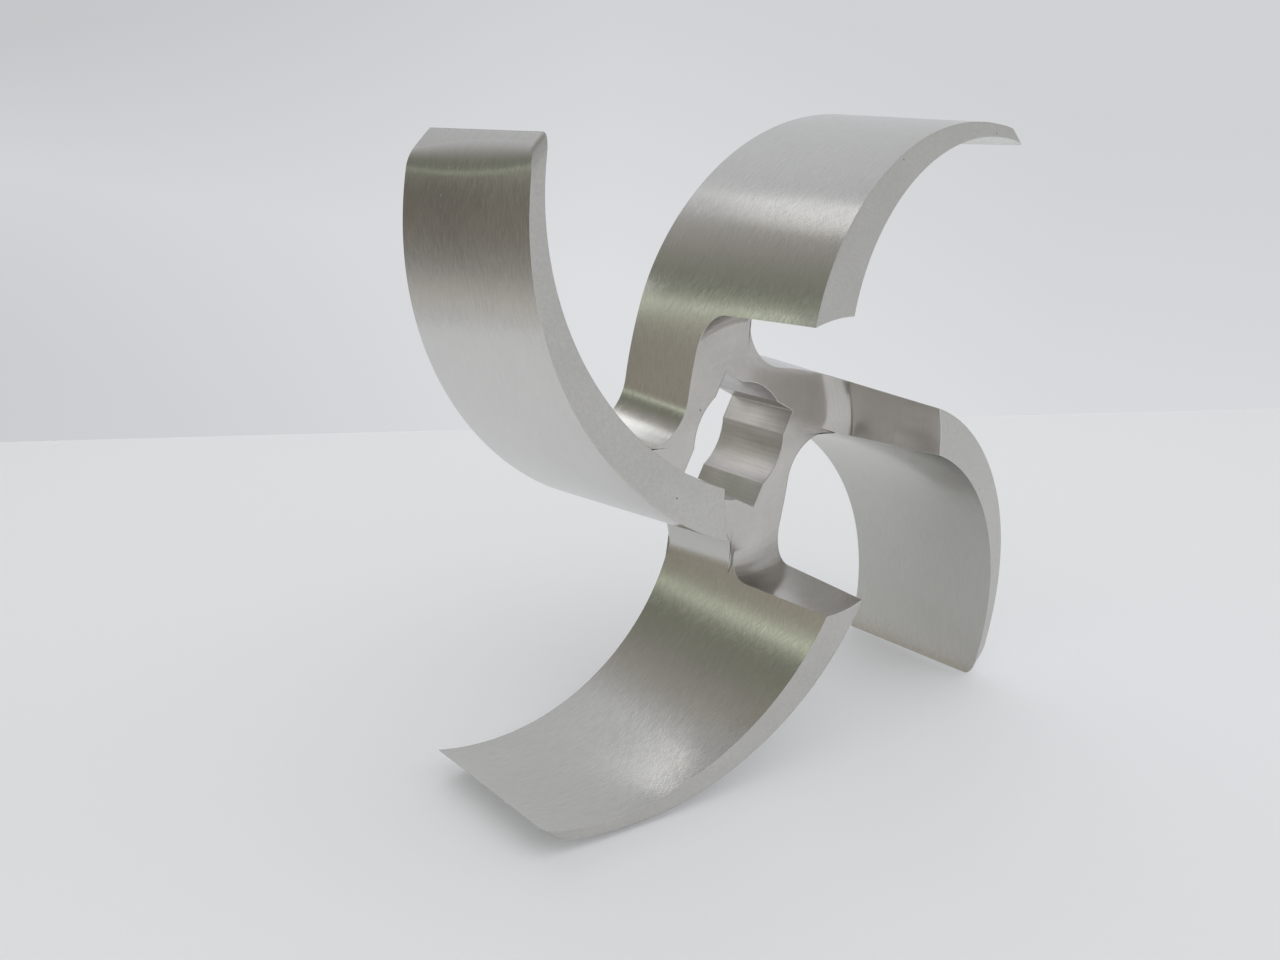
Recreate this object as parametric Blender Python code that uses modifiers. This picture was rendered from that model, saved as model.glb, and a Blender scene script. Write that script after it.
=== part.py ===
"""Open impeller of a centrifugal pump: one stainless casting with four swept vanes.

Frame: metres, +Z up. The shaft axis lies along Y and the suction side faces -Y. The origin is on
the shaft axis, midway along the impeller's width. The impeller is turned about its axis so that
it stands on edge on two of its vanes.

The shape is made the way the real one is. A star of four drafted vanes round a hub web is the
casting. A turned blank gives it its rim, its tapered vane fronts, its back face and the eye, the
recess that leaves the hub web at the back. Then the square bore and its round relief are cut.
The casting is modelled with its axis along Z and its suction side up, and then tipped over.
"""

import math

import bmesh
import bpy
import numpy as np

NAME = "impeller"

# Turned sizes
RIM_RADIUS = 0.0762
EYE_RADIUS = 0.0261
WIDTH = 0.0423
HUB_THICKNESS = 0.0172
TIP_SETBACK = 0.0084
EYE_CORNER_RADIUS = 0.005
TIP_CORNER_RADIUS = 0.002

# Bore: a square with a round relief that bulges from the middle of each side
BORE_ACROSS_FLATS = 0.0197
BORE_RELIEF_RADIUS = 0.01105
BORE_TURN = math.radians(-29.2)

# Vanes: polar angles of the two flanks on the front plane, at even steps from the eye to the rim
VANES = 4
CONCAVE_DEGREES = (86.2, 77.1, 67.3, 56.4, 43.0)
CONVEX_DEGREES = (106.0, 88.8, 74.7, 60.8, 45.5)
ROOT_FILLET = 0.0095

# The convex flank's bend inside the eye
HUB_BEND_RADIUS = 0.085

# Casting draft: how fast each flank spreads with depth, at the eye and at the rim
CONCAVE_DRAFT = (math.radians(2.1), math.radians(0.2))
CONVEX_DRAFT = (math.radians(3.1), math.radians(1.6))

# How finely round shapes are divided, and how far rough shapes run past the cut that trims them
FLANK_STEPS = 22
FILLET_STEPS = 8
TURN_STEPS = 144
BORE_STEPS = 72
CORNER_STEPS = 6
OVERRUN = 0.003

PITCH = 2 * math.pi / VANES


def clear_scene():
    """Remove the objects that the scene holds."""
    for old in list(bpy.data.objects):
        bpy.data.objects.remove(old, do_unlink=True)


def collection(name):
    """Return a new collection in the scene."""
    made = bpy.data.collections.new(name)
    bpy.context.scene.collection.children.link(made)
    return made


def rotated(points, angle):
    """Turn 2D points anticlockwise about the axis."""
    c, s = math.cos(angle), math.sin(angle)
    return np.asarray(points) @ np.array([[c, s], [-s, c]])


def flank_point(degrees, draft, side, depth, share):
    """A point of a flank and its outward normal. share is 0 at the eye and 1 at the rim.

    side is 1 on the convex flank and -1 on the concave one. Inside the eye the concave flank runs
    on straight, along its tangent there, and the convex one bends in towards the bore.
    """
    span = RIM_RADIUS - EYE_RADIUS
    wrap = np.polyfit(np.linspace(0, 1, len(degrees)), np.radians(degrees), len(degrees) - 1)
    held = max(share, 0.0)
    radius = EYE_RADIUS + span * held
    angle = np.polyval(wrap, held)
    bend = np.polyval(np.polyder(wrap), held)
    outward = np.array([math.cos(angle), math.sin(angle)])
    across = np.array([-math.sin(angle), math.cos(angle)])
    tangent = span * outward + radius * bend * across
    normal = side * np.array([-tangent[1], tangent[0]]) / np.linalg.norm(tangent)
    spread = math.tan(draft[0] + (draft[1] - draft[0]) * held) * depth
    point = radius * outward + (share - held) * tangent + spread * normal
    if side > 0:
        turned = (share - held) * np.linalg.norm(tangent) / HUB_BEND_RADIUS
        point = point - normal * HUB_BEND_RADIUS * turned ** 2 / 2
        normal = normal + turned * tangent / np.linalg.norm(tangent)
    return point, normal / np.linalg.norm(normal)


def concave(depth, share):
    """A point of the concave flank of the first vane, and its normal."""
    return flank_point(CONCAVE_DEGREES, CONCAVE_DRAFT, -1, depth, share)


def convex(depth, share):
    """A point of the convex flank of the next vane clockwise, and its normal."""
    point, normal = flank_point(CONVEX_DEGREES, CONVEX_DRAFT, 1, depth, share)
    return rotated(point, -PITCH), rotated(normal, -PITCH)


def fillet_ends(depth):
    """Where a root fillet leaves the two flanks beside a bay: a ball that touches both."""
    def miss(ends):
        first, first_normal = concave(depth, ends[0])
        second, second_normal = convex(depth, ends[1])
        return first + ROOT_FILLET * first_normal - second - ROOT_FILLET * second_normal

    ends = np.zeros(2)
    nudge = 1e-4
    for _ in range(30):
        here = miss(ends)
        slopes = [(miss(ends + nudge * unit) - here) / nudge for unit in np.eye(2)]
        ends = ends - np.linalg.solve(np.transpose(slopes), here)
    return ends


def bay_outline(depth):
    """The outline of one bay between two vanes: in along the concave flank, round, and out."""
    ends = fillet_ends(depth)
    past_rim = 1 + OVERRUN / (RIM_RADIUS - EYE_RADIUS)
    inward = [concave(depth, s)[0] for s in np.linspace(past_rim, ends[0], FLANK_STEPS)]
    outward = [convex(depth, s)[0] for s in np.linspace(ends[1], past_rim, FLANK_STEPS)]
    start, normal = concave(depth, ends[0])
    centre = start + ROOT_FILLET * normal
    first = math.atan2(*(start - centre)[::-1])
    last = math.atan2(*(outward[0] - centre)[::-1])
    last += 2 * math.pi if last < first else 0
    turn = np.linspace(first, last, FILLET_STEPS + 1)[1:-1]
    round_root = [centre + ROOT_FILLET * np.array([math.cos(a), math.sin(a)]) for a in turn]
    return np.array(inward + round_root + outward)


def star_outline(depth):
    """The whole casting's outline at a depth below the front plane, clockwise."""
    bay = bay_outline(depth)
    return np.concatenate([rotated(bay, -PITCH * k) for k in range(VANES)])


def standing_turn():
    """The turn about the axis that sets two vanes level on the ground.

    The part stands on the tip of the right-hand vane and on the convex flank of the vane under
    the axis. The line that touches both is made level.
    """
    depth = (TIP_SETBACK + WIDTH) / 2
    tip = rotated(concave(depth, 1.0)[0], -PITCH)
    flank = [rotated(convex(depth, s)[0], -PITCH) for s in np.linspace(0.5, 1.0, 60)]
    return -max(math.atan2(tip[1] - p[1], tip[0] - p[0]) for p in flank)


def mesh_object(name, mesh, into):
    """Link a new object for a mesh."""
    made = bpy.data.objects.new(name, mesh)
    into.objects.link(made)
    return made


def casting(into, turn):
    """The drafted star, from below the back face to above the vanes' fronts."""
    bm = bmesh.new()
    top = rotated(star_outline(-OVERRUN), turn)
    bottom = rotated(star_outline(WIDTH + OVERRUN), turn)
    corners = [bm.verts.new((x, y, WIDTH + OVERRUN)) for x, y in top]
    face = bm.faces.new(corners)
    ring = bmesh.ops.extrude_face_region(bm, geom=[face], use_keep_orig=True)["geom"]
    lower = [v for v in ring if isinstance(v, bmesh.types.BMVert)]
    places = {tuple(v.co): i for i, v in enumerate(corners)}
    for vertex in lower:
        x, y = bottom[places[tuple(vertex.co)]]
        vertex.co = (x, y, -OVERRUN)
    bmesh.ops.recalc_face_normals(bm, faces=bm.faces)
    mesh = bpy.data.meshes.new(NAME)
    bm.to_mesh(mesh)
    bm.free()
    return mesh_object(NAME, mesh, into)


def corner(centre, radius, start, stop):
    """Points of a round corner in a turned profile, angles in degrees."""
    angles = np.radians(np.linspace(start, stop, CORNER_STEPS + 1))
    return [(centre[0] + radius * math.cos(a), centre[1] + radius * math.sin(a)) for a in angles]


def turned_profile():
    """Radius and height along the turned blank, from the eye's floor out and down to the back."""
    taper = math.atan2(TIP_SETBACK, RIM_RADIUS - EYE_RADIUS)
    eye_corner = (EYE_RADIUS - EYE_CORNER_RADIUS, HUB_THICKNESS + EYE_CORNER_RADIUS)
    drop = TIP_CORNER_RADIUS * math.tan(math.pi / 4 - taper / 2)
    tip_corner = (RIM_RADIUS - TIP_CORNER_RADIUS, WIDTH - TIP_SETBACK - drop)
    return [
        (0.0, HUB_THICKNESS),
        *corner(eye_corner, EYE_CORNER_RADIUS, -90, 0),
        (EYE_RADIUS, WIDTH),
        *corner(tip_corner, TIP_CORNER_RADIUS, 90 - math.degrees(taper), 0),
        (RIM_RADIUS, 0.0),
        (0.0, 0.0),
    ]


def turned_blank(into):
    """The solid that turning leaves, which the casting is trimmed to."""
    profile = turned_profile()
    mesh = bpy.data.meshes.new("turned_blank")
    edges = [(i, i + 1) for i in range(len(profile) - 1)]
    mesh.from_pydata([(r, 0.0, z) for r, z in profile], edges, [])
    blank = mesh_object("turned_blank", mesh, into)
    screw = blank.modifiers.new("turn", "SCREW")
    screw.axis = "Z"
    screw.steps = screw.render_steps = TURN_STEPS
    screw.use_merge_vertices = True
    screw.merge_threshold = 0.00001
    return blank


def bore_square(into, turn):
    """The cutter of the bore's square."""
    bpy.ops.mesh.primitive_cube_add(size=1, location=(0, 0, HUB_THICKNESS / 2))
    square = bpy.context.object
    square.name = "bore_square"
    square.scale = (BORE_ACROSS_FLATS, BORE_ACROSS_FLATS, HUB_THICKNESS + 2 * OVERRUN)
    square.rotation_euler[2] = BORE_TURN + turn
    move_to(square, into)
    return square


def bore_relief(into):
    """The cutter of the bore's round relief."""
    bpy.ops.mesh.primitive_cylinder_add(
        vertices=BORE_STEPS,
        radius=BORE_RELIEF_RADIUS,
        depth=HUB_THICKNESS + 4 * OVERRUN,
        location=(0, 0, HUB_THICKNESS / 2),
    )
    relief = bpy.context.object
    relief.name = "bore_relief"
    move_to(relief, into)
    return relief


def move_to(thing, into):
    """Move an object to a collection."""
    for old in list(thing.users_collection):
        old.objects.unlink(thing)
    into.objects.link(thing)


def boolean(body, cutter, operation):
    """Trim the body with a cutter, which stays in the file as a wire."""
    trim = body.modifiers.new(cutter.name, "BOOLEAN")
    trim.operation = operation
    trim.solver = "EXACT"
    trim.object = cutter
    cutter.hide_render = True
    cutter.display_type = "WIRE"


def stainless():
    """Satin stainless steel."""
    steel = bpy.data.materials.new("stainless_steel")
    steel.use_nodes = True
    shader = steel.node_tree.nodes["Principled BSDF"]
    shader.inputs["Base Color"].default_value = (0.60, 0.58, 0.55, 1.0)
    shader.inputs["Metallic"].default_value = 1.0
    shader.inputs["Roughness"].default_value = 0.34
    return steel


def stand_up(body, cutters):
    """Tip the part onto its edge and set the middle of its width at the origin."""
    rig = bpy.data.objects.new("shaft_axis", None)
    body.users_collection[0].objects.link(rig)
    for thing in (body, *cutters):
        thing.parent = rig
    rig.rotation_euler[0] = math.radians(90)
    rig.location[1] = WIDTH / 2
    bpy.context.view_layer.update()


def main():
    """Build the impeller."""
    clear_scene()
    parts = collection(NAME)
    cutters = collection("cutters")
    turn = standing_turn()
    body = casting(parts, turn)
    blank = turned_blank(cutters)
    square = bore_square(cutters, turn)
    relief = bore_relief(cutters)
    boolean(body, blank, "INTERSECT")
    boolean(body, square, "DIFFERENCE")
    boolean(body, relief, "DIFFERENCE")
    body.data.materials.append(stainless())
    body.data.shade_smooth()
    body.data.set_sharp_from_angle(angle=math.radians(30))
    stand_up(body, (blank, square, relief))


main()
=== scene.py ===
"""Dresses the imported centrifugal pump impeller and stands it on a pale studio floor.

The impeller is one stainless casting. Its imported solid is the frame. The piece made here stands
for it, with the same turned, drafted and cut surfaces at a finer step, a round corner between the
convex flanks and the rim, and a finish for each surface: brushed flanks, satin vane fronts, a
turned eye, a broached bore, and turned rim faces and back.
"""

import math

import bmesh
import bpy
import numpy as np
from bpy.props import FloatProperty, FloatVectorProperty, PointerProperty
from bpy.types import Operator, Panel, PropertyGroup
from mathutils import Matrix, Vector, noise


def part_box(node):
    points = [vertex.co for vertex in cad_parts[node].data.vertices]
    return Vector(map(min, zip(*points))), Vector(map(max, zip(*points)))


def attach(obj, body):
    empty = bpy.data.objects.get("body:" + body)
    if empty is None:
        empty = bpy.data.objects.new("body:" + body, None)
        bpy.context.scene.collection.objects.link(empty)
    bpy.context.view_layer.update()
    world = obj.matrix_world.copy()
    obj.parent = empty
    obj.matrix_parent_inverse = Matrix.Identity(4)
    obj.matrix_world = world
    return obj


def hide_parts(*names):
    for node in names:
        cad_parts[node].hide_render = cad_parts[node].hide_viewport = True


bl_info = {
    "name": "Centrifugal Pump Impeller",
    "version": (1, 0, 0),
    "blender": (4, 5, 0),
    "location": "View3D > Sidebar > Impeller",
    "description": "Models a stainless open impeller with four swept vanes and sets up its studio",
    "category": "Add Mesh",
}

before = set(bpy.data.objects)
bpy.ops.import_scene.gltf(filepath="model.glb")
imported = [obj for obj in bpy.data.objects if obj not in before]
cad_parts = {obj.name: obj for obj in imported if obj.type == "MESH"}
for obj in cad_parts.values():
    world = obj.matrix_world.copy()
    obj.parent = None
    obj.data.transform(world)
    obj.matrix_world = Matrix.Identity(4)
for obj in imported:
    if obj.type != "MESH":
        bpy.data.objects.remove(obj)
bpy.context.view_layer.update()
NODE_LOW, NODE_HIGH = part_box("impeller")

VANES = 4
PITCH = 2 * math.pi / VANES

# Polar angles of the two flanks of a vane on the front plane, at even steps from eye to rim
CONCAVE_DEGREES = (86.2, 77.1, 67.3, 56.4, 43.0)
CONVEX_DEGREES = (106.0, 88.8, 74.7, 60.8, 45.5)

# Mesh steps
VANE_COLUMNS = 96
HOLLOW_COLUMNS = 10
WEB_COLUMNS = 14
ROOT_COLUMNS = 20
UPPER_ROWS = 16
LOWER_ROWS = 18
ACROSS_STEPS = 8
WEB_ROWS = 5
TIP_STEPS = 8
JOIN_DISTANCE = 2e-7

# Solving for places on the flanks: the rounds, and the steps that slopes are taken over
SOLVE_ROUNDS = 12
SHARE_STEP = 1e-5
FILLET_STEP = 1e-4

# Share of the tip rounding that is missing at both ends of a vane
ROUNDING_LOSS = 0.4

# Hand polishing: noise cells over a metre, and how far before the rim the waves fade out
POLISH_WAVES = (70, 45, 70)
POLISH_FADE = 0.004

# Brushing coordinates: the run set aside for a vane and its bay, and the width of a vane front
BRUSHING_RUN = 0.4
FRONT_WIDTH = 0.008

# Edges: the angle that makes one, the width it is rounded over in the shading, and the wider
# rounding on the convex side of the fronts, with the radius it is centred on and its reach
EDGE_ANGLE = math.radians(24)
EDGE_WIDTH = 0.0003
WORN_WIDTH = 0.001
WORN_RADIUS = 0.037
WORN_REACH = 0.013

# Range that most of a noise lies in
NOISE_RANGE = (0.3, 0.7)

# Places in the list of finishes
FLANK, FRONT, EYE, BORE, RIM, BACK = range(6)


class ImpellerSizes(PropertyGroup):
    """Sizes of the impeller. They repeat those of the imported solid."""

    rim_radius: FloatProperty(
        name="Rim Radius",
        description="Radius that the vane tips are turned to",
        default=0.0762,
        min=0.01,
        subtype="DISTANCE",
    )
    eye_radius: FloatProperty(
        name="Eye Radius",
        description="Radius of the recess in the vanes round the hub web",
        default=0.0261,
        min=0.005,
        subtype="DISTANCE",
    )
    width: FloatProperty(
        name="Width",
        description="Depth of the vanes along the shaft, from the front plane to the back",
        default=NODE_HIGH[1] - NODE_LOW[1],
        min=0.005,
        subtype="DISTANCE",
    )
    hub_thickness: FloatProperty(
        name="Hub Thickness",
        description="Thickness of the web that carries the bore",
        default=0.0172,
        min=0.001,
        subtype="DISTANCE",
    )
    tip_setback: FloatProperty(
        name="Tip Setback",
        description="How far the vane fronts fall back from the eye to the rim",
        default=0.0084,
        min=0.0,
        subtype="DISTANCE",
    )
    eye_corner_radius: FloatProperty(
        name="Eye Corner Radius",
        description="Radius between the eye's floor and its wall",
        default=0.005,
        min=0.0005,
        subtype="DISTANCE",
    )
    tip_corner_radius: FloatProperty(
        name="Tip Corner Radius",
        description="Radius between the vane fronts and the rim",
        default=0.002,
        min=0.0002,
        subtype="DISTANCE",
    )
    root_fillet: FloatProperty(
        name="Root Fillet",
        description="Radius of the root between two vanes",
        default=0.0095,
        min=0.001,
        subtype="DISTANCE",
    )
    hub_bend_radius: FloatProperty(
        name="Hub Bend Radius",
        description="Bend of the convex flank inside the eye",
        default=0.085,
        min=0.01,
        subtype="DISTANCE",
    )
    bore_across_flats: FloatProperty(
        name="Bore Across Flats",
        description="Width of the square bore",
        default=0.0197,
        min=0.002,
        subtype="DISTANCE",
    )
    bore_relief_radius: FloatProperty(
        name="Bore Relief Radius",
        description="Radius of the round relief in the middle of each side of the bore",
        default=0.01105,
        min=0.001,
        subtype="DISTANCE",
    )
    bore_turn: FloatProperty(
        name="Bore Turn",
        description="Turn of the square bore about the shaft",
        default=math.radians(-29.2),
        subtype="ANGLE",
    )
    concave_draft_eye: FloatProperty(
        name="Concave Draft at Eye",
        description="Draft of the concave flank where it meets the eye",
        default=math.radians(2.1),
        subtype="ANGLE",
    )
    concave_draft_rim: FloatProperty(
        name="Concave Draft at Rim",
        description="Draft of the concave flank at the rim",
        default=math.radians(0.2),
        subtype="ANGLE",
    )
    convex_draft_eye: FloatProperty(
        name="Convex Draft at Eye",
        description="Draft of the convex flank where it meets the eye",
        default=math.radians(3.1),
        subtype="ANGLE",
    )
    convex_draft_rim: FloatProperty(
        name="Convex Draft at Rim",
        description="Draft of the convex flank at the rim",
        default=math.radians(1.6),
        subtype="ANGLE",
    )
    hand_finish: FloatProperty(
        name="Hand Finish Waviness",
        description="Height of the shallow waves that hand polishing leaves in the flanks",
        default=0.00005,
        min=0.0,
        subtype="DISTANCE",
    )
    tip_rounding: FloatProperty(
        name="Tip Rounding",
        description="How much of the rim the round corner to the convex flank takes, at mid width",
        default=0.003,
        min=0.0,
        subtype="DISTANCE",
    )


class ImpellerFinish(PropertyGroup):
    """Colours of the impeller."""

    convex_color: FloatVectorProperty(
        name="Convex Flank Steel",
        description="Colour of the brushed convex flanks",
        default=(0.668, 0.66, 0.643),
        subtype="COLOR",
        min=0.0,
        max=1.0,
    )
    # Painted shade: the concave flanks get this darker copy of the flank steel colour.
    concave_shaded_color: FloatVectorProperty(
        name="Concave Flank Steel",
        description="Colour of the brushed concave flanks",
        default=(0.592, 0.585, 0.558),
        subtype="COLOR",
        min=0.0,
        max=1.0,
    )
    front_color: FloatVectorProperty(
        name="Front Steel",
        description="Colour of the satin vane fronts and of the back",
        default=(0.60, 0.59, 0.562),
        subtype="COLOR",
        min=0.0,
        max=1.0,
    )
    eye_color: FloatVectorProperty(
        name="Eye Steel",
        description="Colour of the turned eye",
        default=(0.60, 0.58, 0.55),
        subtype="COLOR",
        min=0.0,
        max=1.0,
    )
    bore_color: FloatVectorProperty(
        name="Bore Steel",
        description="Colour of the bore's walls",
        default=(0.588, 0.57, 0.56),
        subtype="COLOR",
        min=0.0,
        max=1.0,
    )
    # Painted highlight: this colour is mixed into the base colour along the rounded edges of all
    # finishes but the flanks.
    edge_highlight_color: FloatVectorProperty(
        name="Edge Steel",
        description="Colour of the bright edges",
        default=(0.74, 0.73, 0.71),
        subtype="COLOR",
        min=0.0,
        max=1.0,
    )


class ImpellerStudio(PropertyGroup):
    """The floor, the light and the camera."""

    floor_color: FloatVectorProperty(
        name="Floor",
        description="Colour of the floor",
        default=(0.80, 0.805, 0.82),
        subtype="COLOR",
        min=0.0,
        max=1.0,
    )
    wall_color: FloatVectorProperty(
        name="Wall",
        description="Colour of the surroundings in front of the impeller",
        default=(0.67, 0.678, 0.692),
        subtype="COLOR",
        min=0.0,
        max=1.0,
    )
    floor_depth: FloatProperty(
        name="Floor Depth",
        description="How far the floor runs behind the shaft line",
        default=0.237,
        min=0.1,
        subtype="DISTANCE",
    )
    floor_turn: FloatProperty(
        name="Floor Turn",
        description="Turn of the floor's far edge",
        default=math.radians(-34.5),
        subtype="ANGLE",
    )
    light_strength: FloatProperty(
        name="Light Strength",
        description="Strength of the soft surroundings and of the lamps",
        default=1.0,
        min=0.0,
    )
    focal_length: FloatProperty(
        name="Focal Length",
        description="Focal length of the camera on a 36 mm sensor, in millimetres",
        default=35.632,
        min=1.0,
        subtype="DISTANCE_CAMERA",
    )


def rotated(points, angle):
    """Turn points of the vane plane anticlockwise about the shaft."""
    c, s = math.cos(angle), math.sin(angle)
    return np.asarray(points) @ np.array([[c, s], [-s, c]])


class Vane:
    """The first vane and the bay clockwise of it, in the vane plane. Depth runs from the front."""

    def __init__(self, sizes):
        self.rim = sizes.rim_radius
        self.eye = sizes.eye_radius
        self.width = sizes.width
        self.floor = sizes.width - sizes.hub_thickness
        self.setback = sizes.tip_setback
        self.eye_corner = sizes.eye_corner_radius
        self.tip_corner = sizes.tip_corner_radius
        self.root = sizes.root_fillet
        self.hub_bend = sizes.hub_bend_radius
        self.tip_rounding = sizes.tip_rounding
        steps = np.linspace(0, 1, len(CONCAVE_DEGREES))
        degree = len(CONCAVE_DEGREES) - 1
        self.wraps = {
            -1: np.polyfit(steps, np.radians(CONCAVE_DEGREES), degree),
            1: np.polyfit(steps, np.radians(CONVEX_DEGREES), degree),
        }
        self.drafts = {
            -1: (sizes.concave_draft_eye, sizes.concave_draft_rim),
            1: (sizes.convex_draft_eye, sizes.convex_draft_rim),
        }

    def flank(self, side, share, depth):
        """Points of a flank and their outward normals. side is 1 convex and -1 concave."""
        share, depth = np.broadcast_arrays(share, depth)
        span = self.rim - self.eye
        held = np.maximum(share, 0.0)
        radius = self.eye + span * held
        angle = np.polyval(self.wraps[side], held)
        bend = np.polyval(np.polyder(self.wraps[side]), held)
        outward = np.stack([np.cos(angle), np.sin(angle)], -1)
        across = np.stack([-np.sin(angle), np.cos(angle)], -1)
        tangent = span * outward + (radius * bend)[..., None] * across
        length = np.linalg.norm(tangent, axis=-1, keepdims=True)
        normal = side * np.stack([-tangent[..., 1], tangent[..., 0]], -1) / length
        first, last = self.drafts[side]
        spread = (np.tan(first + (last - first) * held) * depth)[..., None]
        run = (share - held)[..., None]
        point = radius[..., None] * outward + run * tangent + spread * normal
        if side > 0:
            bent = run * length / self.hub_bend
            point = point - normal * self.hub_bend * bent**2 / 2
            normal = normal + bent * tangent / length
        return point, normal / np.linalg.norm(normal, axis=-1, keepdims=True)

    def share_at(self, side, radius, depth):
        """The share at which a flank reaches a radius."""
        radius, depth = np.broadcast_arrays(radius, depth)
        share = (radius - self.eye) / (self.rim - self.eye)
        for _ in range(SOLVE_ROUNDS):
            here = np.linalg.norm(self.flank(side, share, depth)[0], axis=-1)
            ahead = np.linalg.norm(self.flank(side, share + SHARE_STEP, depth)[0], axis=-1)
            share = share + (radius - here) * SHARE_STEP / (ahead - here)
        return share

    def next_convex(self, share, depth):
        """The convex flank on the other side of the bay."""
        point, normal = self.flank(1, share, depth)
        return rotated(point, -PITCH), rotated(normal, -PITCH)

    def fillet(self, depth):
        """Where the root fillet leaves the two flanks of the bay, its centre and its two angles."""
        def miss(ends):
            first, first_normal = self.flank(-1, ends[0], depth)
            second, second_normal = self.next_convex(ends[1], depth)
            return first + self.root * first_normal - second - self.root * second_normal

        ends = np.zeros(2)
        for _ in range(SOLVE_ROUNDS):
            here = miss(ends)
            ahead = [miss(ends + FILLET_STEP * unit) for unit in np.eye(2)]
            slopes = [(there - here) / FILLET_STEP for there in ahead]
            ends = ends - np.linalg.solve(np.transpose(slopes), here)
        start, normal = self.flank(-1, ends[0], depth)
        centre = start + self.root * normal
        stop = self.next_convex(ends[1], depth)[0]
        first = math.atan2(*(start - centre)[::-1])
        last = math.atan2(*(stop - centre)[::-1])
        last += 2 * math.pi if last < first else 0
        return ends, centre, first, last

    def front_depth(self, radius):
        """Depth of the tapered vane front at a radius."""
        return self.setback * (radius - self.eye) / (self.rim - self.eye)

    def front_profile(self):
        """Radii and depths along a vane front, from the eye to the rim."""
        taper = math.atan2(self.setback, self.rim - self.eye)
        drop = self.tip_corner * math.tan(math.pi / 4 - taper / 2)
        turns = np.linspace(math.pi / 2 - taper, 0, TIP_STEPS + 1)
        corner_r = self.rim - self.tip_corner + self.tip_corner * np.cos(turns)
        corner_d = self.setback + drop - self.tip_corner * np.sin(turns)
        radii = np.linspace(self.eye, corner_r[0], VANE_COLUMNS - TIP_STEPS + 1)
        depths = self.front_depth(radii)
        return np.append(radii, corner_r[1:]), np.append(depths, corner_d[1:])

    def hollow_profile(self):
        """Radii and depths of the eye's round corner, from the floor to the wall."""
        turns = np.linspace(0, math.pi / 2, HOLLOW_COLUMNS + 1)
        radii = self.eye - self.eye_corner + self.eye_corner * np.sin(turns)
        return radii, self.floor - self.eye_corner * (1 - np.cos(turns))

    def tip_slide(self, radius, depth):
        """How far the round corner at the rim takes the convex flank back round the shaft.

        The corner is an arc that touches the rim and the flank, smaller towards both vane ends.
        """
        bend = np.polyval(np.polyder(self.wraps[1]), 1.0)
        slope = -self.rim * bend / (self.rim - self.eye)
        turn = math.atan(1 / slope)
        off_centre = (2 * depth - self.setback - self.width) / (self.width - self.setback)
        reach = self.tip_rounding * (1 - ROUNDING_LOSS * off_centre**2)
        bow = reach / math.tan(turn / 2)
        drop = np.maximum(self.rim - radius, 0.0)
        arc = np.sqrt(np.maximum(2 * bow * drop - drop**2, 0.0))
        slide = np.maximum(reach + slope * drop - arc, 0.0)
        return np.where(drop < reach * math.sin(turn), slide, 0.0)

    def sheet(self, side, radii, tops, bottom, rows):
        """A flank between two edges, as a grid of rows down from the vane front."""
        steps = np.linspace(0, 1, rows + 1)[:, None]
        depth = tops + (bottom - tops) * steps
        radius = np.broadcast_to(radii, depth.shape)
        point = self.flank(side, self.share_at(side, radius, depth), depth)[0]
        if side > 0:
            back = self.tip_slide(radius, depth) / radius
            c, s = np.cos(back), np.sin(back)
            x, z = point[..., 0], point[..., 1]
            point = np.stack([x * c + z * s, z * c - x * s], -1)
        return np.concatenate([point, depth[..., None]], -1)

    def upper(self, side):
        """The flank from the vane front down to the level of the eye's round corner."""
        return self.sheet(side, *self.front_profile(), self.floor - self.eye_corner, UPPER_ROWS)

    def lower(self, side):
        """The flank from that level down to the back."""
        radii = self.front_profile()[0]
        seam = np.full(radii.shape, self.floor - self.eye_corner)
        return self.sheet(side, radii, seam, self.width, LOWER_ROWS)

    def hollow(self, side):
        """The flank under the eye's round corner."""
        return self.sheet(side, *self.hollow_profile(), self.width, LOWER_ROWS)

    def bay(self):
        """The wall of the bay through the hub web, in along the concave flank and out again."""
        inner = self.eye - self.eye_corner
        out = []
        for depth in np.linspace(self.floor, self.width, LOWER_ROWS + 1):
            ends, centre, start, stop = self.fillet(depth)
            begin, finish = (self.share_at(side, inner, depth) for side in (-1, 1))
            entry = self.flank(-1, np.linspace(begin, ends[0], WEB_COLUMNS + 1), depth)[0]
            turns = np.linspace(start, stop, ROOT_COLUMNS + 1)[1:-1]
            root = centre + self.root * np.stack([np.cos(turns), np.sin(turns)], -1)
            leave = self.next_convex(np.linspace(ends[1], finish, WEB_COLUMNS + 1), depth)[0]
            row = np.concatenate([entry, root, leave])
            out.append(np.concatenate([row, np.full((len(row), 1), depth)], -1))
        return np.array(out)


def across(start, stop):
    """Grid between two edges at equal radii, along arcs about the shaft."""
    radius = np.hypot(start[:, 0], start[:, 1])[:, None]
    first = np.arctan2(start[:, 1], start[:, 0])[:, None]
    last = np.arctan2(stop[:, 1], stop[:, 0])[:, None]
    last = last + 2 * math.pi * (last < first)
    t = np.linspace(0, 1, ACROSS_STEPS + 1)[None]
    angle = first + (last - first) * t
    depth = np.repeat(start[:, 2:3], ACROSS_STEPS + 1, axis=1)
    return np.stack([radius * np.cos(angle), radius * np.sin(angle), depth], -1)


def turned(grid, angle):
    """Turn a grid about the shaft."""
    return np.concatenate([rotated(grid[..., :2], angle), grid[..., 2:]], -1)


def run_length(line):
    """Distance along a line of points, from its start."""
    steps = np.linalg.norm(np.diff(line, axis=0), axis=1)
    return np.concatenate([[0.0], np.cumsum(steps)])


def arc_length(grid, radius):
    """Distance round the shaft at a radius, without a jump inside the grid."""
    return np.unwrap(np.arctan2(grid[..., 1], grid[..., 0]), axis=1) * radius


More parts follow.
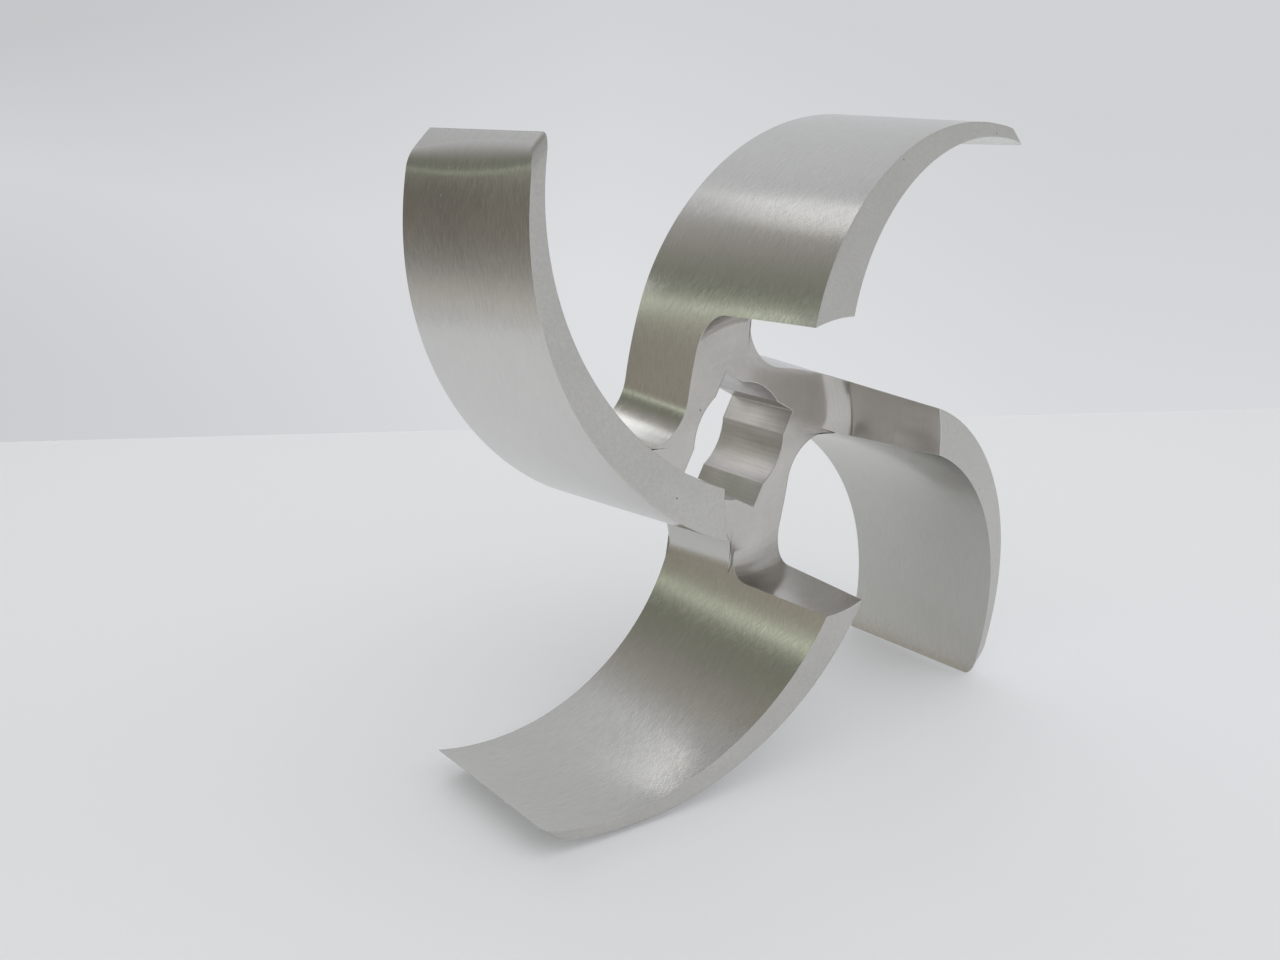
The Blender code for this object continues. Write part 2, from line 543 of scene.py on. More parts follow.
def bore_loop(outline, sizes, turn):
    """Points round the bore that match an outline point by point, with the bore's corners hit.

    The points keep their order round the shaft, also where the outline runs back on itself.
    """
    half = sizes.bore_across_flats / 2
    tilt = sizes.bore_turn + turn
    reach = math.acos(half / sizes.bore_relief_radius)
    corners = [tilt + math.pi / 4 + PITCH * k for k in range(4)]
    corners += [tilt + PITCH * k + side * reach for k in range(4) for side in (-1, 1)]
    polar = np.unwrap(np.arctan2(outline[:, 1], outline[:, 0]))
    closed = np.concatenate([outline, outline[:1]])
    even = polar[0] - run_length(closed)[:-1] / run_length(closed)[-1] * 2 * math.pi
    offset = np.mean(polar - even)
    angles = 0.5 * polar + 0.5 * (even + offset)
    for corner in corners:
        gap = np.angle(np.exp(1j * (angles - corner)))
        nearest = int(np.argmin(np.abs(gap)))
        angles[nearest] -= gap[nearest]
    if np.diff(angles).max() > 0:
        raise RuntimeError("the bore's points are out of order")
    local = (angles - tilt + PITCH / 2) % PITCH - PITCH / 2
    radius = np.maximum(half / np.cos(local), sizes.bore_relief_radius)
    return np.stack([radius * np.cos(angles), radius * np.sin(angles)], -1)


class Shell:
    """Collects the sheets of the casting as quads, with their finish and brushing coordinates."""

    def __init__(self, width):
        self.width = width
        self.mesh = bmesh.new()
        self.brushing = self.mesh.loops.layers.uv.new("brushing")

    def sheet(self, grid, finish, crosswise, lengthwise, closed=False):
        """Add a grid. crosswise and lengthwise are distances over and along the brushing."""
        if closed:
            grid = np.concatenate([grid, grid[:, :1]], 1)
            crosswise = np.concatenate([crosswise, crosswise[:, :1]], 1)
            wrap = 2 * lengthwise[:, -1:] - lengthwise[:, -2:-1]
            lengthwise = np.concatenate([lengthwise, wrap], 1)
        rows, columns = grid.shape[:2]
        corners = [
            [self.mesh.verts.new((x, depth - self.width / 2, z)) for x, z, depth in row]
            for row in grid
        ]
        for i in range(rows - 1):
            for j in range(columns - 1):
                places = ((i, j), (i, j + 1), (i + 1, j + 1), (i + 1, j))
                face = self.mesh.faces.new([corners[a][b] for a, b in places])
                face.material_index = finish
                face.smooth = True
                for loop, (a, b) in zip(face.loops, places):
                    loop[self.brushing].uv = (crosswise[a, b], lengthwise[a, b])


def standing_turn(vane):
    """The turn about the shaft that sets two vanes level on the floor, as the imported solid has."""
    depth = (vane.setback + vane.width) / 2
    tip = rotated(vane.flank(-1, 1.0, depth)[0], -PITCH)
    reach = vane.next_convex(np.linspace(0.5, 1.0, 60), depth)[0]
    drop = tip - rotated(reach, -PITCH)
    return -np.arctan2(drop[:, 1], drop[:, 0]).max()


def casting_shell(sizes):
    """All sheets of the impeller in one closed mesh."""
    vane = Vane(sizes)
    turn = standing_turn(vane)
    shell = Shell(sizes.width)
    upper = {side: vane.upper(side) for side in (-1, 1)}
    lower = {side: vane.lower(side) for side in (-1, 1)}
    hollow = {side: vane.hollow(side) for side in (-1, 1)}
    bay = vane.bay()
    web_run = run_length(bay[0])

    fronts = across(upper[-1][0], upper[1][0])
    wall = across(upper[-1][:, 0], upper[1][:, 0])
    corner = across(hollow[-1][0], hollow[1][0])
    rim = across(*(np.concatenate([upper[s][:, -1], lower[s][1:, -1]]) for s in (-1, 1)))
    back = across(*(np.concatenate([hollow[s][-1], lower[s][-1][1:]]) for s in (-1, 1)))

    floor_loop, back_loop = [], []
    for k in range(VANES):
        spin = turn - PITCH * k
        base = BRUSHING_RUN * k
        for side in (-1, 1):
            origin = base if side < 0 else base - BRUSHING_RUN + web_run[-1]
            bend = run_length(hollow[side][-1])
            reach = bend[-1] + run_length(lower[side][-1])
            for grid, run in ((upper[side], reach), (lower[side], reach), (hollow[side], bend)):
                along = np.broadcast_to(origin + side * run, grid.shape[:2])
                shell.sheet(turned(grid, spin), FLANK, grid[..., 2], along)
        along = np.broadcast_to(base + web_run, bay.shape[:2])
        shell.sheet(turned(bay, spin), FLANK, bay[..., 2], along)

        shape = fronts.shape[:2]
        thick = np.broadcast_to(np.linspace(0, FRONT_WIDTH, ACROSS_STEPS + 1)[None], shape)
        run = np.broadcast_to(base + run_length(fronts[:, 0])[:, None], shape)
        shell.sheet(turned(fronts, spin), FRONT, thick, run)
        for grid in (wall, corner):
            spun = turned(grid, spin)
            down = np.broadcast_to(run_length(grid[:, 0])[:, None], grid.shape[:2])
            shell.sheet(spun, EYE, down, base + arc_length(spun, vane.eye))
        spun = turned(rim, spin)
        shell.sheet(spun, RIM, rim[..., 2], base + arc_length(spun, vane.rim))
        spun = turned(back, spin)
        radius = np.hypot(spun[..., 0], spun[..., 1])
        shell.sheet(spun, BACK, radius, base + arc_length(spun, vane.eye))

        floor_loop += [*turned(corner[0][::-1], spin)[:-1], *turned(bay[0], spin)[:-1]]
        back_loop += [*turned(back[0][::-1], spin)[:-1], *turned(bay[-1], spin)[:-1]]

    floor_loop, back_loop = np.array(floor_loop), np.array(back_loop)
    hole = bore_loop(floor_loop, sizes, turn)
    steps = np.linspace(0, 1, WEB_ROWS + 1)[:, None, None]
    for loop, finish, depth in ((floor_loop, EYE, vane.floor), (back_loop, BACK, vane.width)):
        inner = np.concatenate([hole, np.full((len(hole), 1), depth)], 1)
        grid = loop[None] + (inner - loop)[None] * steps
        radius = np.hypot(grid[..., 0], grid[..., 1])
        shell.sheet(grid, finish, radius, arc_length(grid, vane.eye), closed=True)
    rows = np.linspace(vane.floor, vane.width, LOWER_ROWS + 1)
    bore = np.array([[(*point, depth) for point in hole] for depth in rows])
    around = np.broadcast_to(run_length(hole)[None], bore.shape[:2])
    shell.sheet(bore, BORE, around, bore[..., 2], closed=True)
    return shell.mesh


def close_mesh(mesh):
    """Join the sheets along their edges and turn every face outward."""
    bmesh.ops.remove_doubles(mesh, verts=mesh.verts, dist=JOIN_DISTANCE)
    bmesh.ops.recalc_face_normals(mesh, faces=mesh.faces)
    loose = [edge for edge in mesh.edges if not edge.is_manifold]
    if loose:
        raise RuntimeError(f"the casting is open along {len(loose)} edges")


def finish_flanks(mesh, sizes):
    """Hand polishing: shallow waves cut into the flanks. The rim keeps its turned size."""
    for vertex in mesh.verts:
        sides = [face.normal for face in vertex.link_faces if face.material_index == FLANK]
        if not sides:
            continue
        normal = sum(sides, Vector()) / len(sides)
        place = vertex.co.copy()
        radius = math.hypot(place.x, place.z)
        scaled = Vector([part * waves for part, waves in zip(place, POLISH_WAVES)])
        cut = sizes.hand_finish * (noise.noise(scaled) - 1) / 2
        fade = min(1.0, max(0.0, (sizes.rim_radius - radius) / POLISH_FADE))
        vertex.co += normal * cut * fade


def mark_edges(mesh):
    """Keep the shading apart across the edges. All finishes but the flanks' round them off."""
    for edge in mesh.edges:
        first, second = edge.link_faces
        edge.smooth = first.normal.angle(second.normal) < EDGE_ANGLE


class Steel:
    """A procedural steel finish, built node by node."""

    def __init__(self, name, color):
        self.material = bpy.data.materials.new(name)
        self.material.use_nodes = True
        self.material.diffuse_color = (*color, 1.0)
        self.material.metallic = 1.0
        self.tree = self.material.node_tree
        self.tree.nodes.clear()
        self.shader = self.add("BsdfPrincipled", {"Metallic": 1.0})
        output = self.add("OutputMaterial")
        self.tree.links.new(self.shader.outputs[0], output.inputs["Surface"])
        self.normal = None
        self.place = self.add("TexCoord").outputs["Object"]
        self.brushing = self.add("UVMap", uv_map="brushing").outputs[0]

    def add(self, kind, inputs=None, **settings):
        """Add a node, set it up and feed its inputs with values or with other nodes' sockets."""
        made = self.tree.nodes.new("ShaderNode" + kind)
        for name, value in settings.items():
            setattr(made, name, value)
        for key, value in (inputs or {}).items():
            if isinstance(value, bpy.types.NodeSocket):
                self.tree.links.new(value, made.inputs[key])
            else:
                made.inputs[key].default_value = value
        return made

    def math(self, operation, *values):
        """A number worked out from others."""
        return self.add("Math", dict(enumerate(values)), operation=operation).outputs[0]

    def remap(self, value, low, high, first=0.0, last=1.0):
        """Spread a range of a value over another, held at both ends."""
        ends = {"From Min": low, "From Max": high, "To Min": first, "To Max": last}
        return self.add("MapRange", {"Value": value, **ends}).outputs[0]

    def mix(self, factor, first, second):
        """Blend two colours."""
        made = self.add("Mix", {"Factor": factor}, data_type="RGBA", clamp_factor=True)
        for socket, value in ((made.inputs[6], first), (made.inputs[7], second)):
            if isinstance(value, bpy.types.NodeSocket):
                self.tree.links.new(value, socket)
            else:
                socket.default_value = (*value, 1.0)
        return made.outputs[2]

    def tint(self, color, value):
        """A colour times a number."""
        scaled = self.add("VectorMath", {0: color, "Scale": value}, operation="SCALE")
        return scaled.outputs[0]

    def streaks(self, thick, long, slant=0.0, detail=2.0, shift=0.0):
        """Noise drawn out along the brushing: lines of a thickness and a length."""
        turn = self.add("VectorRotate", {"Vector": self.brushing, "Angle": slant})
        turn.rotation_type = "Z_AXIS"
        scale = (1 / thick, 1 / long, 1.0)
        spread = self.add("VectorMath", {0: turn.outputs[0], 1: scale}, operation="MULTIPLY")
        moved = self.add("VectorMath", {0: spread.outputs[0], 1: (shift, shift, shift)})
        feed = {"Vector": moved.outputs[0], "Scale": 1.0, "Detail": detail, "Roughness": 0.6}
        return self.add("TexNoise", feed).outputs["Fac"]

    def clouds(self, size, detail=3.0, shift=0.0):
        """Even noise through the metal."""
        moved = self.add("VectorMath", {0: self.place, 1: (shift, shift, shift)})
        feed = {"Vector": moved.outputs[0], "Scale": 1 / size, "Detail": detail, "Roughness": 0.6}
        return self.add("TexNoise", feed).outputs["Fac"]

    def pits(self, spacing, radius, share):
        """Depth of small casting pits: one in some of the cells, with an uneven rim."""
        wobble = self.clouds(radius * 0.8, 2.0)
        cells = self.add("TexVoronoi", {"Vector": self.place, "Scale": 1 / spacing})
        reach = radius / spacing
        near = self.math("ADD", cells.outputs["Distance"], self.math("MULTIPLY", wobble, reach))
        hole = self.remap(near, reach * 0.9, reach * 1.5, 1.0, 0.0)
        pick = self.add("SeparateColor", {0: cells.outputs["Color"]}).outputs[0]
        chosen = self.math("LESS_THAN", pick, share)
        return self.math("MULTIPLY", hole, chosen)

    def wear(self, share):
        """Width of an edge's rounding, uneven, and wider round the worn radius by a share."""
        flat = self.add("VectorMath", {0: self.place, 1: (1, 0, 1)}, operation="MULTIPLY")
        radius = self.add("VectorMath", {0: flat.outputs[0]}, operation="LENGTH").outputs["Value"]
        away = self.math("ABSOLUTE", self.math("SUBTRACT", radius, WORN_RADIUS))
        near = self.remap(away, 0.0, WORN_REACH, 1.0, 0.0)
        more = self.math("MULTIPLY", self.math("MULTIPLY", near, share), WORN_WIDTH - EDGE_WIDTH)
        uneven = self.remap(self.clouds(0.004, 2.0, 9.0), *NOISE_RANGE, 0.6, 1.3)
        return self.math("MULTIPLY", self.math("ADD", more, EDGE_WIDTH), uneven)

    def levels(self, *layers):
        """The product of several noises, each spread between its two levels."""
        first, *others = (self.remap(value, *NOISE_RANGE, *ends) for value, *ends in layers)
        for other in others:
            first = self.math("MULTIPLY", first, other)
        return first

    def darkened(self, level, holes, least):
        """A level brought down in the pits."""
        return self.math("MULTIPLY", level, self.remap(holes, 0.0, 1.0, 1.0, least))

    def round_and_highlight_edges(self, color, level, edge_highlight_color, width=EDGE_WIDTH):
        """Round the edges in the shading and set the base colour, with a highlight painted brighter
        along them.
        """
        self.normal = self.add("Bevel", {"Radius": width}, samples=6).outputs[0]
        flat = self.add("NewGeometry").outputs["Normal"]
        facing = self.add("VectorMath", {0: self.normal, 1: flat}, operation="DOT_PRODUCT")
        # Painted highlight: the edge colour is mixed in where the rounded normal turns away from the
        # face.
        edge = self.remap(facing.outputs["Value"], 0.985, 0.85)
        self.color(self.mix(edge, self.tint(color, level), edge_highlight_color))

    def relief(self, *layers):
        """Bump the surface by several heights, each given in metres."""
        normal = self.normal
        for height, depth in layers:
            feed = {"Height": height, "Distance": depth, "Strength": 1.0}
            bump = self.add("Bump", feed)
            if normal is not None:
                self.tree.links.new(normal, bump.inputs["Normal"])
            normal = bump.outputs[0]
        self.tree.links.new(normal, self.shader.inputs["Normal"])

    def brushed_tangent(self, amount):
        """Stretch the highlights across the brushing."""
        tangent = self.add("Tangent", direction_type="UV_MAP", uv_map="brushing")
        self.tree.links.new(tangent.outputs[0], self.shader.inputs["Tangent"])
        self.shader.inputs["Anisotropic"].default_value = amount

    def color(self, socket):
        """Set the base colour."""
        self.tree.links.new(socket, self.shader.inputs["Base Color"])

    def roughness(self, socket):
        """Set the roughness."""
        self.tree.links.new(socket, self.shader.inputs["Roughness"])


def flank_steel(finish):
    """Brushed cast flanks: scratches along the flow, crossing hand scratches, a few pits, and
    painted shade on the concave side.
    """
    steel = Steel("flank_steel", finish.convex_color)
    fine = steel.streaks(0.0003, 0.0025)
    coarse = steel.streaks(0.0006, 0.008, detail=3.0, shift=3.0)
    rising = steel.remap(steel.streaks(0.00014, 0.004, math.radians(28), 1.0, 7.0), 0.52, 0.66)
    falling = steel.remap(steel.streaks(0.00014, 0.003, math.radians(-34), 1.0, 11.0), 0.54, 0.68)
    patch = steel.clouds(0.022, 4.0)
    holes = steel.pits(0.007, 0.00018, 0.08)
    level = steel.levels((fine, 0.96, 1.04), (coarse, 0.98, 1.02), (patch, 0.97, 1.03))
    level = steel.darkened(level, holes, 0.35)
    # Painted shade: the concave side of each bay is coloured darker than the convex side, though
    # both are the same steel.
    along = steel.add("SeparateXYZ", {0: steel.brushing}).outputs[1]
    along = steel.math("WRAP", steel.math("DIVIDE", along, BRUSHING_RUN), 0.75, -0.25)
    convex = steel.remap(along, 0.02, 0.09)
    steel.color(steel.tint(steel.mix(convex, finish.concave_shaded_color, finish.convex_color), level))
    rough = steel.remap(patch, 0.35, 0.65, 0.14, 0.18)
    rough = steel.math("ADD", rough, steel.remap(fine, *NOISE_RANGE, 0.0, 0.03))
    rough = steel.math("ADD", rough, steel.remap(holes, 0.0, 1.0, 0.0, 0.3))
    steel.roughness(rough)
    steel.relief(
        (coarse, 0.000003),
        (fine, 0.000006),
        (rising, 0.000004),
        (falling, 0.000003),
        (steel.math("SUBTRACT", 1.0, holes), 0.00006),
    )
    steel.brushed_tangent(0.6)
    return steel.material


def front_steel(finish):
    """Satin vane fronts with small pits."""
    steel = Steel("front_steel", finish.front_color)
    grain = steel.clouds(0.0005, 3.0)
    patch = steel.clouds(0.012, 3.0, 2.0)
    holes = steel.pits(0.0035, 0.0002, 0.22)
    level = steel.darkened(steel.levels((grain, 0.94, 1.05), (patch, 0.95, 1.04)), holes, 0.4)
    crosswise = steel.add("SeparateXYZ", {0: steel.brushing}).outputs[0]
    # The wider rounding on the convex side also widens the painted highlight along that edge.
    width = steel.wear(steel.remap(crosswise, 0.003, 0.006))
    steel.round_and_highlight_edges(finish.front_color, level, finish.edge_highlight_color, width)
    steel.roughness(steel.levels((patch, 0.36, 0.46)))
    steel.relief(
        (grain, 0.000012),
        (steel.math("SUBTRACT", 1.0, holes), 0.00006),
    )
    return steel.material


def eye_steel(finish):
    """The turned eye: faint rings of the tool, a few pits and stains."""
    steel = Steel("eye_steel", finish.eye_color)
    rings = steel.streaks(0.0003, 0.03, detail=1.0)
    grain = steel.clouds(0.0006, 3.0)
    patch = steel.clouds(0.009, 4.0, 4.0)
    holes = steel.pits(0.005, 0.00022, 0.16)
    level = steel.levels((rings, 0.975, 1.02), (grain, 0.97, 1.03), (patch, 0.92, 1.04))
    level = steel.darkened(level, holes, 0.35)
    steel.round_and_highlight_edges(finish.eye_color, level, finish.edge_highlight_color)
    steel.roughness(steel.levels((patch, 0.22, 0.16)))
    steel.relief(
        (grain, 0.000003),
        (rings, 0.0000015),
        (steel.math("SUBTRACT", 1.0, holes), 0.00005),
    )
    steel.brushed_tangent(0.3)
    return steel.material


def bore_steel(finish):
    """Broached bore walls with fine lines along the shaft."""
    steel = Steel("bore_steel", finish.bore_color)
    lines = steel.streaks(0.00025, 0.02)
    patch = steel.clouds(0.006, 3.0)
    level = steel.levels((lines, 0.85, 1.08), (patch, 0.9, 1.05))
    steel.round_and_highlight_edges(finish.bore_color, level, finish.edge_highlight_color)
    steel.roughness(steel.levels((patch, 0.28, 0.4)))
    steel.relief((lines, 0.000008))
    steel.brushed_tangent(0.5)
    return steel.material


def rim_steel(finish):
    """Turned rim faces with slanting scratches."""
    steel = Steel("rim_steel", finish.convex_color)
    turning = steel.streaks(0.0003, 0.03)
    slanted = steel.remap(steel.streaks(0.00016, 0.006, math.radians(40), 1.0, 5.0), 0.4, 0.65)
    patch = steel.clouds(0.008, 3.0)
    level = steel.levels((turning, 0.94, 1.05), (patch, 0.95, 1.04))
    level = steel.math("MULTIPLY", level, steel.remap(slanted, 0.0, 1.0, 0.96, 1.08))
    steel.round_and_highlight_edges(finish.convex_color, level, finish.edge_highlight_color)
    steel.roughness(steel.levels((patch, 0.24, 0.34)))
    steel.relief((turning, 0.000003), (slanted, 0.000004))
    steel.brushed_tangent(0.4)
    return steel.material


def back_steel(finish):
    """The turned back face."""
    steel = Steel("back_steel", finish.front_color)
    rings = steel.streaks(0.0003, 0.05, detail=1.0)
    patch = steel.clouds(0.012, 3.0, 6.0)
    level = steel.levels((rings, 0.93, 1.05), (patch, 0.94, 1.04))
    steel.round_and_highlight_edges(finish.front_color, level, finish.edge_highlight_color)
    steel.roughness(steel.levels((patch, 0.3, 0.4)))
    steel.relief((rings, 0.000006))
    steel.brushed_tangent(0.4)
    return steel.material


class IMPELLER_OT_casting(Operator):
    """Add the impeller casting: hub web, four swept vanes and square bore in one piece"""

    bl_idname = "impeller.casting"
    bl_label = "Add Impeller Casting"

    def execute(self, context):
        """Build the casting, finish it and stand it for its solid."""
        sizes = context.scene.impeller_sizes
        finish = context.scene.impeller_finish
        shell = casting_shell(sizes)
        close_mesh(shell)
        finish_flanks(shell, sizes)
        mark_edges(shell)
        mesh = bpy.data.meshes.new("impeller_casting")
        shell.to_mesh(mesh)
        shell.free()
        casting = bpy.data.objects.new("impeller_casting", mesh)
        context.scene.collection.objects.link(casting)
        for make in (flank_steel, front_steel, eye_steel, bore_steel, rim_steel, back_steel):
            mesh.materials.append(make(finish))
        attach(casting, "root")
        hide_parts("impeller")
        return {"FINISHED"}


class IMPELLER_OT_studio(Operator):
    """Set up the pale floor, the soft surroundings and the camera"""

    bl_idname = "impeller.studio"
    bl_label = "Set Up Studio"

    def execute(self, context):
        """Lay the floor, light the room and place the camera."""
        studio = context.scene.impeller_studio
        lay_floor(context, studio)
        light_room(context, studio)
        place_camera(context, studio)
        context.scene.view_settings.view_transform = "Standard"
        return {"FINISHED"}


def lay_floor(context, studio):
    """A pale floor that ends a little way behind the impeller.

    The steel mirrors the floor near it. Beyond that it mirrors the surroundings.
    """
    material = bpy.data.materials.new("floor_paint")
    material.use_nodes = True
    shader = material.node_tree.nodes["Principled BSDF"]
    shader.inputs["Base Color"].default_value = (*studio.floor_color, 1.0)
    shader.inputs["Roughness"].default_value = 0.6
    shader.inputs["Specular IOR Level"].default_value = 0.3
    turn = Matrix.Rotation(studio.floor_turn, 4, "Z")
    near, far, reach = 0.236, studio.floor_depth, 2.0
    outside = ((-reach, -reach), (reach, -reach), (reach, far), (-reach, far))
    inside = [(a * near / reach, b * near / reach if b < 0 else b) for a, b in outside]
    for name, mirrored in (("studio_floor", True), ("studio_floor_far", False)):
        sheet = bmesh.new()
        corners = [sheet.verts.new(turn @ Vector((*place, NODE_LOW[2]))) for place in inside]
        if mirrored:
            sheet.faces.new(corners)
        else:
            edge = [sheet.verts.new(turn @ Vector((*place, NODE_LOW[2]))) for place in outside]
            for first, second in ((0, 1), (1, 2), (3, 0)):
                sheet.faces.new((edge[first], edge[second], corners[second], corners[first]))
        mesh = bpy.data.meshes.new(name)
        sheet.to_mesh(mesh)
        sheet.free()
        mesh.materials.append(material)
        floor = bpy.data.objects.new(name, mesh)
        floor.visible_glossy = mirrored
        context.scene.collection.objects.link(floor)


# Tints of the surroundings
PALE = (0.988, 1.0, 1.027)
WARM = (1.03, 1.0, 0.93)
OLIVE = (0.98, 1.0, 0.83)
GREEN = (0.93, 1.0, 0.80)
BROWN = (1.08, 1.0, 0.86)

# Light of the surroundings by direction, in degrees about the shaft line from the right over the
# top: a pale tent with a darker side to the upper left and left, and a narrow green strip of light
# in it. The two levels are for directions well to the side and for directions near the back.
SURROUNDINGS = (
    (0, 0.64, 0.64, PALE),
    (30, 0.65, 0.65, PALE),
    (70, 0.67, 0.67, PALE),
    (80, 0.65, 0.65, PALE),
    (88, 0.60, 0.60, PALE),
    (96, 0.53, 0.52, PALE),
    (104, 0.46, 0.44, WARM),
    (110, 0.39, 0.36, WARM),
    (118, 0.35, 0.29, WARM),
    (127, 0.30, 0.23, OLIVE),
    (137, 0.27, 0.20, OLIVE),
    (144, 0.28, 0.18, OLIVE),
    (147, 0.44, 0.20, GREEN),
    (149.5, 1.10, 0.38, GREEN),
    (152, 1.00, 0.40, GREEN),
    (154.5, 0.46, 0.19, OLIVE),
    (160, 0.39, 0.15, BROWN),
    (165, 0.41, 0.15, BROWN),
    (177, 0.42, 0.18, BROWN),
    (187, 0.46, 0.26, WARM),
    (195, 0.56, 0.42, WARM),
    (203, 0.66, 0.54, WARM),
    (211, 0.67, 0.60, PALE),
    (223, 0.67, 0.67, PALE),
    (290, 0.68, 0.68, PALE),
    (310, 0.69, 0.69, PALE),
    (337, 0.74, 0.74, PALE),
    (360, 0.64, 0.64, PALE),
)


# How the surroundings change with the backward part (depth) and the upward part (height) of a
# direction. Each line gives the range of that part and the values at its two ends.
TURN_BY_DEPTH = (0.55, 0.85, 0.037, -0.183)
NEAR_BACK_BY_DEPTH = (0.62, 0.82, 0.0, 1.0)
FALL_BY_DEPTH = (0.80, 0.97, 1.0, 0.89)
DIM_BY_HEIGHT = (0.45, 0.6, 0.0, 0.25)
DIM_SHARE_BY_DEPTH = (0.60, 0.53, 0.0, 1.0)
FRONT_SHARE_BY_DEPTH = (0.3, -0.1, 0.0, 1.0)
FRONT_TOP_BY_HEIGHT = (0.0, 0.6, 0.0, 1.0)
FRONT_TOP_LEVEL = 0.75

# Name, place, size and power of each lamp, and whether the steel mirrors it
LAMPS = (
    ("room_light", (0.1, -0.7, 1.25), (1.8, 1.8), 8.0, False),
    ("back_light", (0.15, 0.3, 0.8), (0.5, 0.5), 2.0, False),
    ("ceiling_panel", (-0.06, 0.288, 0.4287), (0.11, 0.13), 0.0245, True),
    ("low_panel", (-0.0145, 0.050, 0.03), (0.023, 0.022), 0.0014, True),
)


def light_room(context, studio):
    """Soft surroundings as the world's light, and four soft lamps."""
    world = bpy.data.worlds.new("studio_surroundings")
    world.use_nodes = True
    tree = world.node_tree
    tree.nodes.clear()

    def add(kind, *values, **settings):
        made = tree.nodes.new("ShaderNode" + kind)
        for name, value in settings.items():
            setattr(made, name, value)
        for socket, value in zip(made.inputs, values):
            if isinstance(value, bpy.types.NodeSocket):
                tree.links.new(value, socket)
            elif value is not None:
                socket.default_value = value
        return made

    def blend(factor, first, second):
        made = add("Mix", data_type="RGBA")
        for socket, value in zip((made.inputs[0], *made.inputs[6:8]), (factor, first, second)):
            if isinstance(value, bpy.types.NodeSocket):
                tree.links.new(value, socket)
            else:
                socket.default_value = (*value, 1.0)
        return made.outputs[2]

    direction = add("TexCoord").outputs["Generated"]
    across, depth, height = add("SeparateXYZ", direction).outputs
    angle = add("Math", height, across, operation="ARCTAN2").outputs[0]
    lean = add("MapRange", depth, *TURN_BY_DEPTH).outputs[0]
    angle = add("Math", angle, lean, operation="ADD").outputs[0]
    share = add("Math", angle, 2 * math.pi, operation="DIVIDE").outputs[0]
    place = add("Math", share, 1.0, 0.0, operation="WRAP").outputs[0]
    rings = []
    for level in (1, 2):
        ramp = add("ValToRGB", place)
        stops = ramp.color_ramp.elements
        for stop in SURROUNDINGS[1:-1]:
            stops.new(stop[0] / 360)
        for made, stop in zip(stops, SURROUNDINGS):
            made.color = (*(stop[level] * part for part in stop[3]), 1.0)
        rings.append(ramp.outputs[0])
    near_back = add("MapRange", depth, *NEAR_BACK_BY_DEPTH).outputs[0]
    tent = blend(near_back, *rings)
    fall = add("MapRange", depth, *FALL_BY_DEPTH).outputs[0]
    high = add("MapRange", height, *DIM_BY_HEIGHT).outputs[0]
    forward = add("MapRange", depth, *DIM_SHARE_BY_DEPTH).outputs[0]
    dim = add("Math", high, forward, operation="MULTIPLY").outputs[0]
    dim = add("Math", 1.0, dim, operation="SUBTRACT").outputs[0]
    fall = add("Math", fall, dim, operation="MULTIPLY").outputs[0]
    tent = add("VectorMath", tent, None, None, fall, operation="SCALE").outputs[0]
    front_top = add("MapRange", height, *FRONT_TOP_BY_HEIGHT).outputs[0]
    top_color = [FRONT_TOP_LEVEL * part for part in studio.wall_color]
    front = blend(front_top, studio.wall_color, top_color)
    front_share = add("MapRange", depth, *FRONT_SHARE_BY_DEPTH).outputs[0]
    room = blend(front_share, tent, front)
    background = add("Background", room, studio.light_strength)
    output = add("OutputWorld")
    tree.links.new(background.outputs[0], output.inputs["Surface"])
    context.scene.world = world

    for name, place, size, power, mirrored in LAMPS:
        hang_lamp(context, name, place, size, power * studio.light_strength, mirrored)
    bpy.data.lights["back_light"].use_shadow = False


def hang_lamp(context, name, place, size, power, mirrored):
    """A soft lamp that faces the impeller. The steel shows it only if it is mirrored.

    A mirrored lamp is there for the steel alone: it lights neither the floor nor the view.
    """
    lamp = bpy.data.lights.new(name, "AREA")
    lamp.shape = "RECTANGLE"
    lamp.size, lamp.size_y = size
    lamp.energy = power
    light = bpy.data.objects.new(name, lamp)
    light.location = place
    light.rotation_euler = Vector(place).to_track_quat("Z", "Y").to_euler()
    light.visible_camera = False
    light.visible_glossy = mirrored
    light.visible_diffuse = not mirrored
    context.scene.collection.objects.link(light)


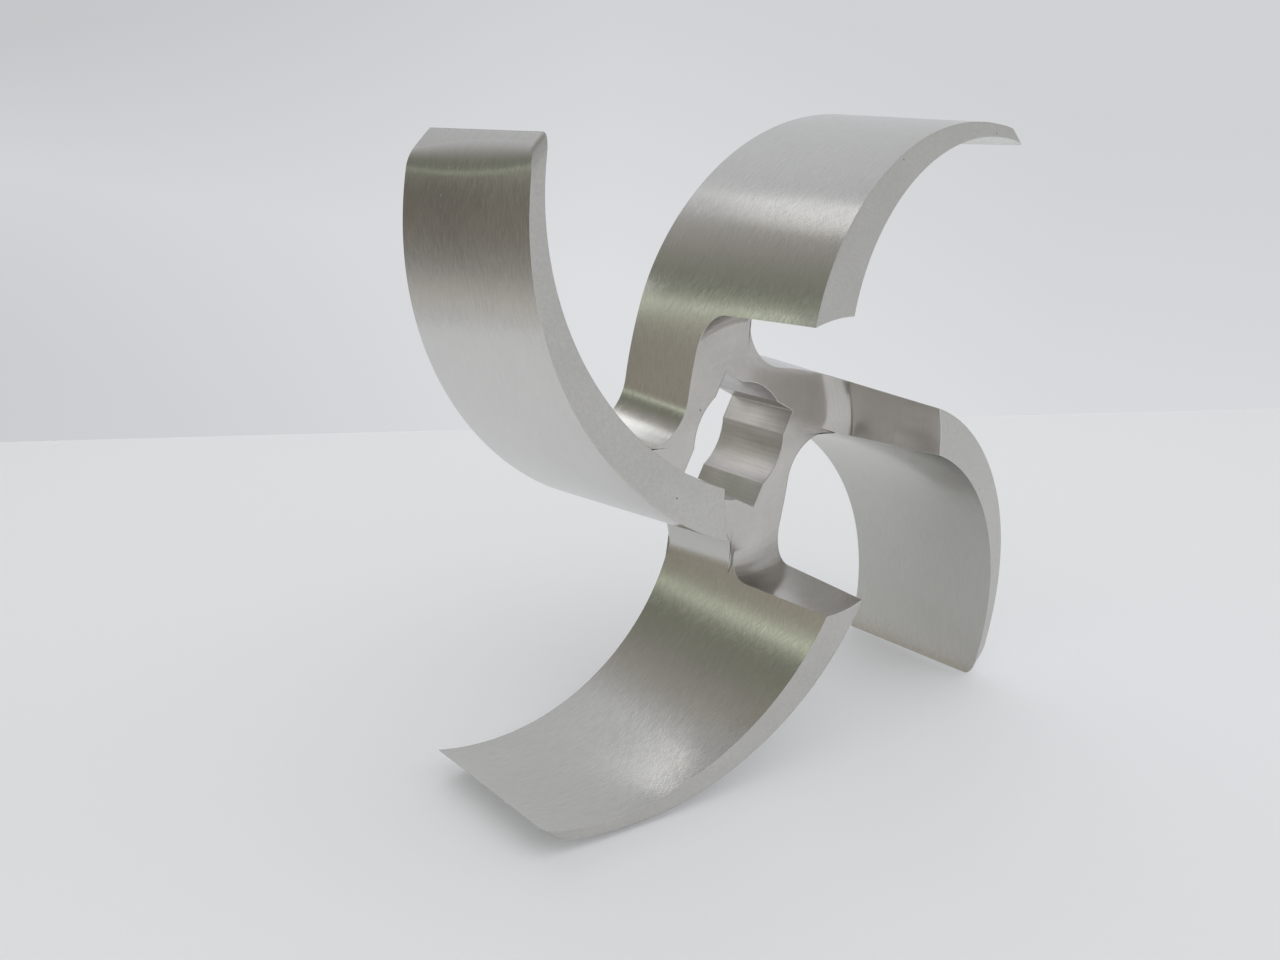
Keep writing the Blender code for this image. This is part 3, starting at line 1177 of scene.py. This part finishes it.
# The camera's place and its right, up and forward directions in the part's frame
CAMERA_PLACE = (-0.15204863, -0.162537, 0.06147998)
CAMERA_RIGHT = (0.78888542, -0.61442291, -0.01201171)
CAMERA_FORWARD = (0.58486043, 0.75664284, -0.29228392)


def place_camera(context, studio):
    """The camera, at the viewing angle of the photograph."""
    data = bpy.data.cameras.new("studio_camera")
    data.sensor_width = 36.0
    data.lens = studio.focal_length
    data.clip_start = 0.005
    data.clip_end = 20.0
    right, forward = Vector(CAMERA_RIGHT), Vector(CAMERA_FORWARD)
    up = right.cross(forward)
    axes = Matrix((right, up, -forward)).transposed().to_4x4()
    camera = bpy.data.objects.new("studio_camera", data)
    camera.matrix_world = Matrix.Translation(CAMERA_PLACE) @ axes
    context.scene.collection.objects.link(camera)
    context.scene.camera = camera


class IMPELLER_PT_panel(Panel):
    """Buttons for the impeller and its studio, with their sizes, colours and light"""

    bl_idname = "IMPELLER_PT_panel"
    bl_label = "Centrifugal Pump Impeller"
    bl_space_type = "VIEW_3D"
    bl_region_type = "UI"
    bl_category = "Impeller"

    def draw(self, context):
        """List the operators and the settings they read."""
        layout = self.layout
        for operator in OPERATORS:
            layout.operator(operator.bl_idname)
        for group in (
            context.scene.impeller_sizes,
            context.scene.impeller_finish,
            context.scene.impeller_studio,
        ):
            box = layout.box()
            for name in group.__annotations__:
                box.prop(group, name)


OPERATORS = (IMPELLER_OT_casting, IMPELLER_OT_studio)
GROUPS = {
    "impeller_sizes": ImpellerSizes,
    "impeller_finish": ImpellerFinish,
    "impeller_studio": ImpellerStudio,
}


def register():
    """Register the settings, the operators and the panel."""
    for cls in (*GROUPS.values(), *OPERATORS, IMPELLER_PT_panel):
        bpy.utils.register_class(cls)
    for name, group in GROUPS.items():
        setattr(bpy.types.Scene, name, PointerProperty(type=group))


def unregister():
    """Take them out again."""
    for name in GROUPS:
        delattr(bpy.types.Scene, name)
    for cls in reversed((*GROUPS.values(), *OPERATORS, IMPELLER_PT_panel)):
        bpy.utils.unregister_class(cls)


def main():
    """Make the impeller and its studio."""
    register()
    bpy.ops.impeller.casting()
    bpy.ops.impeller.studio()


if __name__ == "__main__":
    main()
